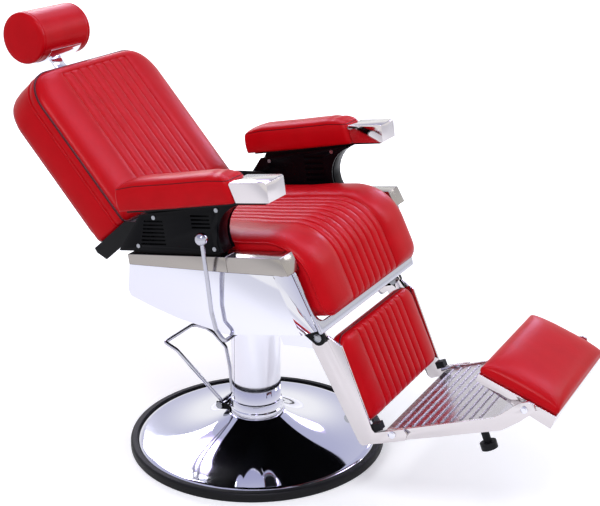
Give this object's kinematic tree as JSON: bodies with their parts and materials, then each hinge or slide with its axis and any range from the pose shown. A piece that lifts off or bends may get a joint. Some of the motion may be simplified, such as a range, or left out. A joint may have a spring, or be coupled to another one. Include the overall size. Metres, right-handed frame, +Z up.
{
  "type": "hydraulic barber chair",
  "caption": "Reclining barber chair with a domed round base, pump pedal, swivel seat, sewn cushions, louvred arm panels, roll headrest and linked leg rest.",
  "frame": {"origin": "centre of the base's underside, on the floor under the column", "axes": "+Z up, the sitter faces -Y, +X is the sitter's left"},
  "size_m": [0.68, 1.5168, 1.0814],
  "materials": {
    "cast_iron": "satin",
    "chrome": "polished",
    "black_rubber": "matte",
    "machined_steel": "satin",
    "black_paint": "gloss",
    "red_vinyl": "gloss",
    "plywood": "matte"
  },
  "bodies": {
    "base": {"base_plate": "cast_iron", "base_dome": "chrome", "floor_ring": "black_rubber", "pump_cylinder": "machined_steel", "gland_nut": "machined_steel", "pump_collar": "chrome", "pedal_bracket": "black_paint", "pedal_shaft": "machined_steel"},
    "pedal": {"pump_pedal": "chrome"},
    "column": {"ram": "chrome", "thrust_bearing": "machined_steel", "column_sleeve": "chrome"},
    "seat": {"swivel_housing": "cast_iron", "seat_mount": "black_paint", "seat_frame": "black_paint", "side_rail_left": "chrome", "side_rail_right": "chrome", "rail_caps": "chrome", "side_shell_left": "chrome", "side_shell_right": "chrome", "front_trim": "chrome", "seat_board": "plywood", "seat_cushion": "red_vinyl", "arm_frames": "black_paint", "arm_blocks": "chrome", "arm_covers_outer": "black_paint", "arm_covers_inner": "black_paint", "armrest_pad_left": "red_vinyl", "armrest_pad_right": "red_vinyl", "cover_screws": "chrome", "hinge_plates": "black_paint", "hinge_pins": "machined_steel", "recline_pins": "machined_steel"},
    "back": {"recline_brackets": "black_paint", "bracket_bolts": "machined_steel", "back_tube": "machined_steel", "back_frame": "plywood", "back_cushion": "red_vinyl", "back_panel": "red_vinyl", "post_guide": "machined_steel"},
    "headrest": {"headrest_post": "chrome", "headrest_saddle": "chrome", "headrest_roll": "red_vinyl"},
    "link": {"link_bar": "machined_steel"},
    "leg": {"leg_arms": "chrome", "leg_tubes": "machined_steel", "calf_board": "plywood", "calf_pad": "red_vinyl", "brake_quadrant": "machined_steel", "stop_blocks": "black_rubber", "fold_bolts": "machined_steel"},
    "foot": {"foot_bars": "chrome", "tread_plate": "chrome", "bumpers": "black_rubber", "pad_bolts": "machined_steel"},
    "foot_pad": {"pad_tray": "chrome", "foot_pad": "red_vinyl"},
    "lever": {"lever_rod": "chrome", "lever_ball": "chrome", "brake_cam": "machined_steel"}
  },
  "joints": [
    {"name": "pedal_press", "type": "hinge", "parent": "base", "child": "pedal", "pos_m": [0, 0.088, 0.092], "axis": [-1, 0, 0], "range_deg": [0, 25], "stiffness_Nm_per_rad": 8, "springref_deg": -14.32},
    {"name": "lift", "type": "slide", "parent": "base", "child": "column", "axis": [0, 0, 1], "range_m": [0, 0.16]},
    {"name": "swivel", "type": "hinge", "parent": "column", "child": "seat", "pos_m": [0, 0, 0.44], "axis": [0, 0, 1], "continuous": true},
    {"name": "recline", "type": "hinge", "parent": "seat", "child": "back", "pos_m": [0, 0.11978, 0.62513], "axis": [-1, 0, 0], "range_deg": [-25, 44]},
    {"name": "headrest_slide", "type": "slide", "parent": "back", "child": "headrest", "axis": [0, 0.6561, 0.7547], "range_m": [-0.02, 0.09]},
    {"name": "link_crank", "type": "hinge", "parent": "back", "child": "link", "pos_m": [0, 0.15178, 0.59313], "axis": [-1, 0, 0], "range_deg": [-44, 25]},
    {"name": "leg_swing", "type": "hinge", "parent": "seat", "child": "leg", "pos_m": [0, -0.29083, 0.42434], "axis": [-1, 0, 0], "range_deg": [-25, 44]},
    {"name": "foot_fold", "type": "hinge", "parent": "leg", "child": "foot", "pos_m": [0, -0.47464, 0.22048], "axis": [-1, 0, 0], "range_deg": [0, 45]},
    {"name": "foot_flip", "type": "hinge", "parent": "foot", "child": "foot_pad", "pos_m": [0, -0.77591, 0.35023], "axis": [1, 0, 0], "range_deg": [0, 175]},
    {"name": "lever_pull", "type": "hinge", "parent": "seat", "child": "lever", "pos_m": [0, -0.11782, 0.42769], "axis": [-1, 0, 0], "range_deg": [0, 15], "stiffness_Nm_per_rad": 12, "springref_deg": -11.46}
  ],
  "couplings": [
    {"joint": "leg_swing", "follows": "recline", "ratio": 1},
    {"joint": "link_crank", "follows": "recline", "ratio": -1}
  ]
}
